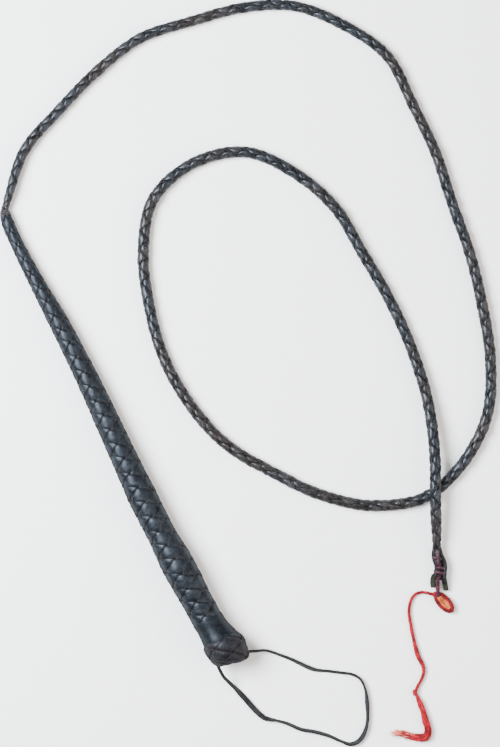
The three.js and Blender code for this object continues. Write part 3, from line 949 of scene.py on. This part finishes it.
class WHIP_OT_wrist_lace(bpy.types.Operator):
    """Lays the flat wrist lace, which turns over as it goes round"""

    bl_idname = "whip.wrist_lace"
    bl_label = "Wrist lace"

    def execute(self, context):
        s = sizes()
        line = line_through(metres(LACE_ROUTE), 2 * MM)
        turn = along_line(line, LACE_TURN_PLACES, LACE_TURNS)
        lace = lay(
            "wrist_lace_strip", ("wrist_loop", "lace_leather", "wrist_lace"), "lace", line, lace_tree(),
            turn=turn, width=s.lace_width, thickness=s.lace_thickness, squareness=0.5, steps=420, round=20)
        return {"FINISHED"}


def box_middle(node):
    low, high = (Vector(c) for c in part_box(node))
    return (low + high) / 2


class WHIP_OT_cracker(bpy.types.Operator):
    """Twists the red cracker: its string, loop, knot and frayed tassel"""

    bl_idname = "whip.cracker"
    bl_label = "Cracker"

    def execute(self, context):
        knot_middle = box_middle("cracker_knot") + Vector((-0.2, 1.4, 0.2)) * MM
        line = line_through([*metres(STRING_ROUTE), tuple(knot_middle)], 1 * MM)
        swell = along_line(line, (0, 0.1, 0.3, 0.55, 0.66, 0.74, 0.82, 0.92, 1),
                           (0.7, 0.85, 0.9, 1.05, 1.75, 1.6, 1.05, 0.85, 1.0)) * MM
        plies = plait_tree((0, 1), (1, 1), (2, 1))
        string = lay(
            "cracker_yarn", ("cracker", "cracker_cord", "cracker_string"), "string", line, plies, swell,
            lead=9 * MM, cover=0.86, thickness=1.3 * MM, uneven=0.9 * MM, steps=260, round=14, **SPUN)

        # The loop's two turns: half its length and width, its thickness, and its plies' lead, in millimetres.
        middle = box_middle("cracker_loop")
        lengthwise, sideways = Vector((0.28, -0.96, 0)), Vector((0.96, 0.28, 0))
        for name, look, long, wide, thick, lead in (
            ("cracker_loop_cord", "loop", 10.1, 4.5, 1.95, 8),
            ("cracker_loop_inner_turn", "inner", 6.8, 1.7, 1.7, 5),
        ):
            ring = [middle + lengthwise * (long * MM * math.cos(a)) + sideways * (wide * MM * math.sin(a))
                    for a in np.linspace(math.pi, 3 * math.pi, 90)]
            lay(
                name, ("cracker", "loop_cord", "cracker_loop"), look, ring, plies, 0.5 * thick * MM,
                lead=lead * MM, cover=0.9, thickness=thick * MM, uneven=0.3 * MM, steps=160, round=12, **SPUN)

        slope = Vector(line[-1] - line[-6]).normalized()
        cross = Vector((-slope.y, slope.x, 0))
        ends = [knot_middle + (slope * 0.9 + cross * 0.4) * t * MM for t in np.linspace(-2.9, 2.9, 16)]
        swell = along_line(ends, (0, 0.3, 0.7, 1), (0.9, 1.4, 1.4, 0.9)) * MM
        lay(
            "cracker_knot_turns", ("cracker", "cracker_cord", "cracker_knot"), "string", ends,
            plait_tree((0, 1)), swell, lead=2.8 * MM, each_way=1, cover=1.0, slant=0.96,
            thickness=2.0 * MM, rise=0.0, uneven=0.3 * MM, steps=90, round=14)

        frayed = line_through([tuple(knot_middle), *metres(TASSEL_ROUTE)], 1 * MM)
        swell = along_line(frayed, (0, 0.06, 0.14, 0.3, 0.6, 0.8, 1), (0.9, 1.5, 2.4, 2.6, 3.1, 2.7, 1.4)) * MM
        lay(
            "cracker_fibres", ("cracker", "tassel_fibre", "cracker_tassel"), "tassel", frayed,
            fibre_tree(), swell, fibres=sizes().tassel_fibres, fibre_radius=0.36 * MM, shortest=0.66,
            stray=7 * MM, clumps=5, twist=5.0, steps=60, seed=11)
        return {"FINISHED"}


class WHIP_OT_hitch(bpy.types.Operator):
    """Ties the fall to the thong's end with the ends of the thong's own strands"""

    bl_idname = "whip.hitch"
    bl_label = "Fall hitch"

    def execute(self, context):
        start = Vector((210.5, -220.6, 0)) * MM
        direction = Vector((-0.42, -0.907, 0)).normalized()
        aside = Vector((-direction.y, direction.x, 0))

        def spot(distance, offset, height):
            return start + (direction * distance + aside * offset + Vector((0, 0, height))) * MM

        hitch = ("thong", "hitch_leather", "fall_hitch")
        # Each strand runs through points (distance down the hitch, offset to its right side, height), in
        # millimetres, and turns over by the two angles given.
        for name, look, place, width, thickness, first, last, points in (
            ("hitch_strand_left", "thong", hitch, 4.2, 2.4, 0.2, 0.7, (
                (-7, -1.6, 8.6), (-2, -2.2, 8.2), (4, -3.0, 7.4), (9, -2.4, 7), (14, -0.8, 7.6),
                (19, -1.2, 7.4), (23, -2.6, 6.6))),
            ("hitch_strand_middle", "hitch", hitch, 4.8, 2.6, 0.1, 0.8, (
                (-9, 0.2, 6.4), (-1, 0.8, 8.6), (5, 0.4, 9.2), (10, 0.2, 9.8), (15, 1.4, 9.4), (20, 1.2, 8.4),
                (26, 0.6, 7.0))),
            ("hitch_strand_right", "thong", hitch, 4.0, 2.5, 0.3, 0.6, (
                (-7, 1.0, 6.2), (-2, 2.2, 7.4), (4, 3.6, 7.6), (9, 5.8, 7), (14, 6.9, 6.8), (20, 6.4, 6.8),
                (26, 5.9, 6.4), (30, 6.0, 5.6))),
            ("hitch_strand_under", "hitch", hitch, 4.2, 2.4, 0.0, 0.3, (
                (-5, 0, 6.4), (2, 0.6, 5.6), (8, 1.6, 5), (14, 2.9, 5), (20, 3.4, 5), (27, 3.6, 5))),
            ("tail_end_left", "tail", ("thong", "tail_leather", "hitch_tail_left"), 4.8, 2.4, 0.1, 0.3, (
                (22, -2.8, 6.4), (25, -4.0, 5.0), (29, -4.5, 3.4), (33.4, -3.9, 2.6))),
            ("tail_end_right", "tail", ("thong", "tail_leather", "hitch_tail_right"), 5.0, 2.4, 0.2, 0.4, (
                (25.5, 5.6, 6.0), (28.5, 6.2, 5.0), (32, 6.8, 3.6), (36.4, 7.3, 2.6))),
        ):
            line = line_through([tuple(spot(*point)) for point in points], 0.5 * MM)
            lay(name, place, look, line, lace_tree(), turn=np.linspace(first, last, len(line)),
                width=width * MM, thickness=thickness * MM, squareness=0.7, steps=60, round=18)
        # Two wraps that hold the strands together, each a strand wound on itself.
        for name, top, bottom, shift, radii in (
            ("hitch_wrap_upper", 1.5, 9.0, 0.2, (2.2, 3.3, 3.6)),
            ("hitch_wrap_lower", 14.6, 23.0, 2.0, (4.2, 4.6, 3.8)),
        ):
            ends = [spot(a, shift, 6.8) for a in np.linspace(top, bottom, 16)]
            swell = along_line(ends, (0, 0.5, 1), radii) * MM
            lay(name, hitch, "hitch", ends, plait_tree((0, 1)), swell, lead=4.4 * MM, each_way=1, cover=0.8,
                slant=0.9, thickness=1.9 * MM, rise=0.0, flatness=0.85, uneven=1.4 * MM, steps=90, round=16)
        return {"FINISHED"}


class WHIP_OT_keepers(bpy.types.Operator):
    """Bends the laces that join the handle, the thong and the cracker, and binds them"""

    bl_idname = "whip.keepers"
    bl_label = "Keepers"

    def execute(self, context):
        out = Vector((THONG_ROUTE[1][0] * MM, THONG_ROUTE[1][1] * MM - PIVOT.y, 0)).normalized()
        flat = dict(width=3.0 * MM, thickness=2.3 * MM, squareness=0.75, steps=120, round=14)
        points = laid(level_hairpin(-28, 1.2, 2.6), PIVOT, HANDLE_DIRECTION,
                      HANDLE_DIRECTION.cross(Vector((-1, 0, 0))))
        line = line_through(points, 0.5 * MM, 6)
        line += [(float(bow((Vector(p) - HEEL_END).dot(HANDLE_DIRECTION))), 0, 0) for p in line]
        lay("handle_keeper_lace", ("handle", "lace_leather", "handle_keeper"), "lace", line, lace_tree(),
            **flat)
        points = laid(level_hairpin(-15.65, 1.2, 1.9), PIVOT - out * 1.9 * MM, -out, Vector((-out.y, out.x, 0)))
        line = line_through(points, 0.5 * MM, 6)
        lay("thong_keeper_lace", ("thong", "lace_leather", "thong_keeper"), "lace", line, lace_tree(), **flat)

        # The fall: a lace doubled from the hitch to the cracker's loop, twisted of two plies.
        tip = Vector((193.1, -257.7, 4.2)) * MM
        way = tip - Vector((200.84, -241.46, 4.2)) * MM
        points = laid(level_hairpin(-(way.length / MM), 1.5, 2.7), tip, way.normalized(), Vector((0, 0, 1)))
        line = line_through(points, 0.5 * MM, 6)
        lay("fall_lace", ("thong", "fall_leather", "fall"), "fall", line, plait_tree((0, 1), (1, 1)), 1.0 * MM,
            lead=6 * MM, each_way=2, cover=0.9, slant=0.5, thickness=1.6 * MM, rise=0.0, uneven=0.3 * MM,
            steps=160, round=14)

        # The bindings: a grey lace wound tight where the plaits end.
        for name, body, node, spot, first, last, radii in (
            ("tip_binding_lace", "handle", "tip_binding", lambda t: on_handle(HANDLE_LENGTH + t), -6.0, -0.6,
             (4.7, 4.0, 2.6)),
            ("neck_binding_lace", "thong", "keeper_binding", lambda t: PIVOT + out * t, 0.9, 5.4,
             (2.2, 3.0, 3.1)),
        ):
            line = [spot(t) for t in np.linspace(first, last, 20) * MM]
            swell = along_line(line, (0, 0.6, 1), radii) * MM
            lay(name, (body, "binding_thread", node), "thread", line, plait_tree((0, 1)), swell, lead=1.9 * MM,
                each_way=1, cover=0.9, slant=0.95, thickness=1.0 * MM, rise=0.0, flatness=0.85,
                uneven=0.5 * MM, steps=200, round=12)
        return {"FINISHED"}


class WHIP_OT_handle_plait(bpy.types.Operator):
    """Plaits the handle's cover: six flat strands, three wound each way"""

    bl_idname = "whip.handle_plait"
    bl_label = "Handle plait"

    def execute(self, context):
        s = sizes()
        inset = s.handle_rise + s.handle_strand / 2 - CROWNS_STAND_OUT
        stations = np.linspace(*PLAIT_ENDS, 412)
        line = [on_handle(t) for t in stations]
        swell = [outline(t) - inset for t in stations]
        for number in range(6):
            strand = (number % 3, 1 if number < 3 else -1)
            lay(f"handle_strand_{number + 1}", ("handle", "plaited_leather", "handle_plait"), "handle", line,
                plait_tree(strand), swell, lead=s.handle_lead, each_way=3, cover=0.97, slant=0.4,
                thickness=s.handle_strand, rise=s.handle_rise, flatness=0.7, start=math.pi / 2,
                uneven=0.9 * MM, wander=1.1, steps=620, round=20)
        return {"FINISHED"}


class WHIP_OT_heel(bpy.types.Operator):
    """Weaves the heel knot, and turns the band and the cap"""

    bl_idname = "whip.heel"
    bl_label = "Heel"

    def execute(self, context):
        # The middle of the knot's two layers, as (distance, radius) from the end face's middle.
        profile = [(1.9, 7.6), (2.0, 10.6), (3.2, 13.4), (5.8, 15.5), (9.2, 16.7), (13.4, 17.4), (17.8, 17.8),
                   (21.4, 17.3), (24.2, 15.8), (25.6, 14.2)]
        line = smooth_curve([(*point, 0) for point in metres(profile)], 8)[:, :2]
        swell = 18.0 * MM
        rail = make_rail("Heel knot rail", [(0, y, 0) for y in np.linspace(0, run_length(line), 40)], swell)
        strands = plait_tree(*((k, hand) for hand in (1, -1) for k in range(4)))
        knot = grow("heel_knot_lace", rail, strands, finish("knot"), lead=60 * MM, each_way=4, cover=0.97,
                    slant=0.4, thickness=1.4 * MM, rise=0.7 * MM, flatness=0.6, start=0.5, uneven=1.6 * MM,
                    steps=150, round=24)
        curl(knot, line, swell)
        band = rounded_profile(metres((
            (21.5, 11.6), (21.5, 14.6), (23.5, 16.6), (27, 16.2), (32, 15.1), (38, 14.3), (45.4, 14.3),
            (46.4, 13.8), (46.4, 11.6), (21.5, 11.6))))
        band = turned_piece("heel_band_leather", band, finish("band"), wobble=0.12 * MM)
        cap = rounded_profile(metres((
            (3.6, 0), (3.6, 9.6), (2.0, 9.8), (1.0, 8.6), (0.6, 5), (0.5, 0))), 0.8 * MM)
        cap = turned_piece("heel_cap_leather", cap, finish("knot"), wobble=0.1 * MM)
        for piece, slot, node in (
            (knot, "heel_leather", "heel_knot"), (band, "band_leather", "heel_band"),
            (cap, "heel_leather", "heel_cap"),
        ):
            lean(piece)
            on_body(piece, "handle", slot, node)
        return {"FINISHED"}


class WHIP_OT_inside(bpy.types.Operator):
    """Turns the parts inside the handle: the cane, the wound hide over it, and the heel's foundation"""

    bl_idname = "whip.inside"
    bl_label = "Inside"

    def execute(self, context):
        # The hide's outside lies 2.9 mm under the handle's outline, to leave room for the plait's strands.
        outside = [(t / MM, outline(t) / MM - 2.9) for t in (d * MM for d in range(47, 436, 6))]
        for name, look, slot, node, profile in (
            ("cane", "cane", "cane", "handle_core",
             [(5.5, 0), (5.5, 4.3), (6.5, 5), (200, 4.6), (425, 2.2), (426, 0)]),
            ("hide_foundation", "hide", "core_leather", "handle_foundation",
             [(23, 5.4), (23, 11), *outside, (outside[-1][0], 2.4), (200, 4.9), (23, 5.4)]),
            ("heel_foundation_wound", "hide", "core_leather", "heel_foundation",
             [(4.5, 5.4), (4.5, 13), (6, 14), (20, 14), (21, 13), (21, 5.4), (4.5, 5.4)]),
        ):
            piece = turned_piece(name, metres(profile), finish(look), segments=64)
            if node == "heel_foundation":
                lean(piece)
            on_body(piece, "handle", slot, node)
        return {"FINISHED"}


class WHIP_PT_panel(bpy.types.Panel):
    """Lists the whip's sizes, colours and pieces"""

    bl_label = "Whip"
    bl_idname = "WHIP_PT_panel"
    bl_space_type = "VIEW_3D"
    bl_region_type = "UI"
    bl_category = "Whip"

    def draw(self, context):
        for group in (context.scene.whip_sizes, context.scene.whip_colours):
            box = self.layout.box()
            for label in group.__annotations__:
                box.prop(group, label)
        for operator in OPERATORS:
            self.layout.operator(operator.bl_idname)


OPERATORS = (
    WHIP_OT_stage, WHIP_OT_thong, WHIP_OT_wrist_lace, WHIP_OT_cracker, WHIP_OT_hitch, WHIP_OT_keepers,
    WHIP_OT_handle_plait, WHIP_OT_heel, WHIP_OT_inside,
)
CLASSES = (WhipSizes, WhipColours, *OPERATORS, WHIP_PT_panel)


def register():
    for kind in CLASSES:
        bpy.utils.register_class(kind)
    bpy.types.Scene.whip_sizes = bpy.props.PointerProperty(type=WhipSizes)
    bpy.types.Scene.whip_colours = bpy.props.PointerProperty(type=WhipColours)


def unregister():
    del bpy.types.Scene.whip_sizes
    del bpy.types.Scene.whip_colours
    for kind in reversed(CLASSES):
        bpy.utils.unregister_class(kind)


def main():
    register()
    for operator in OPERATORS:
        area, name = operator.bl_idname.split(".")
        getattr(getattr(bpy.ops, area), name)()


if __name__ == "__main__":
    main()
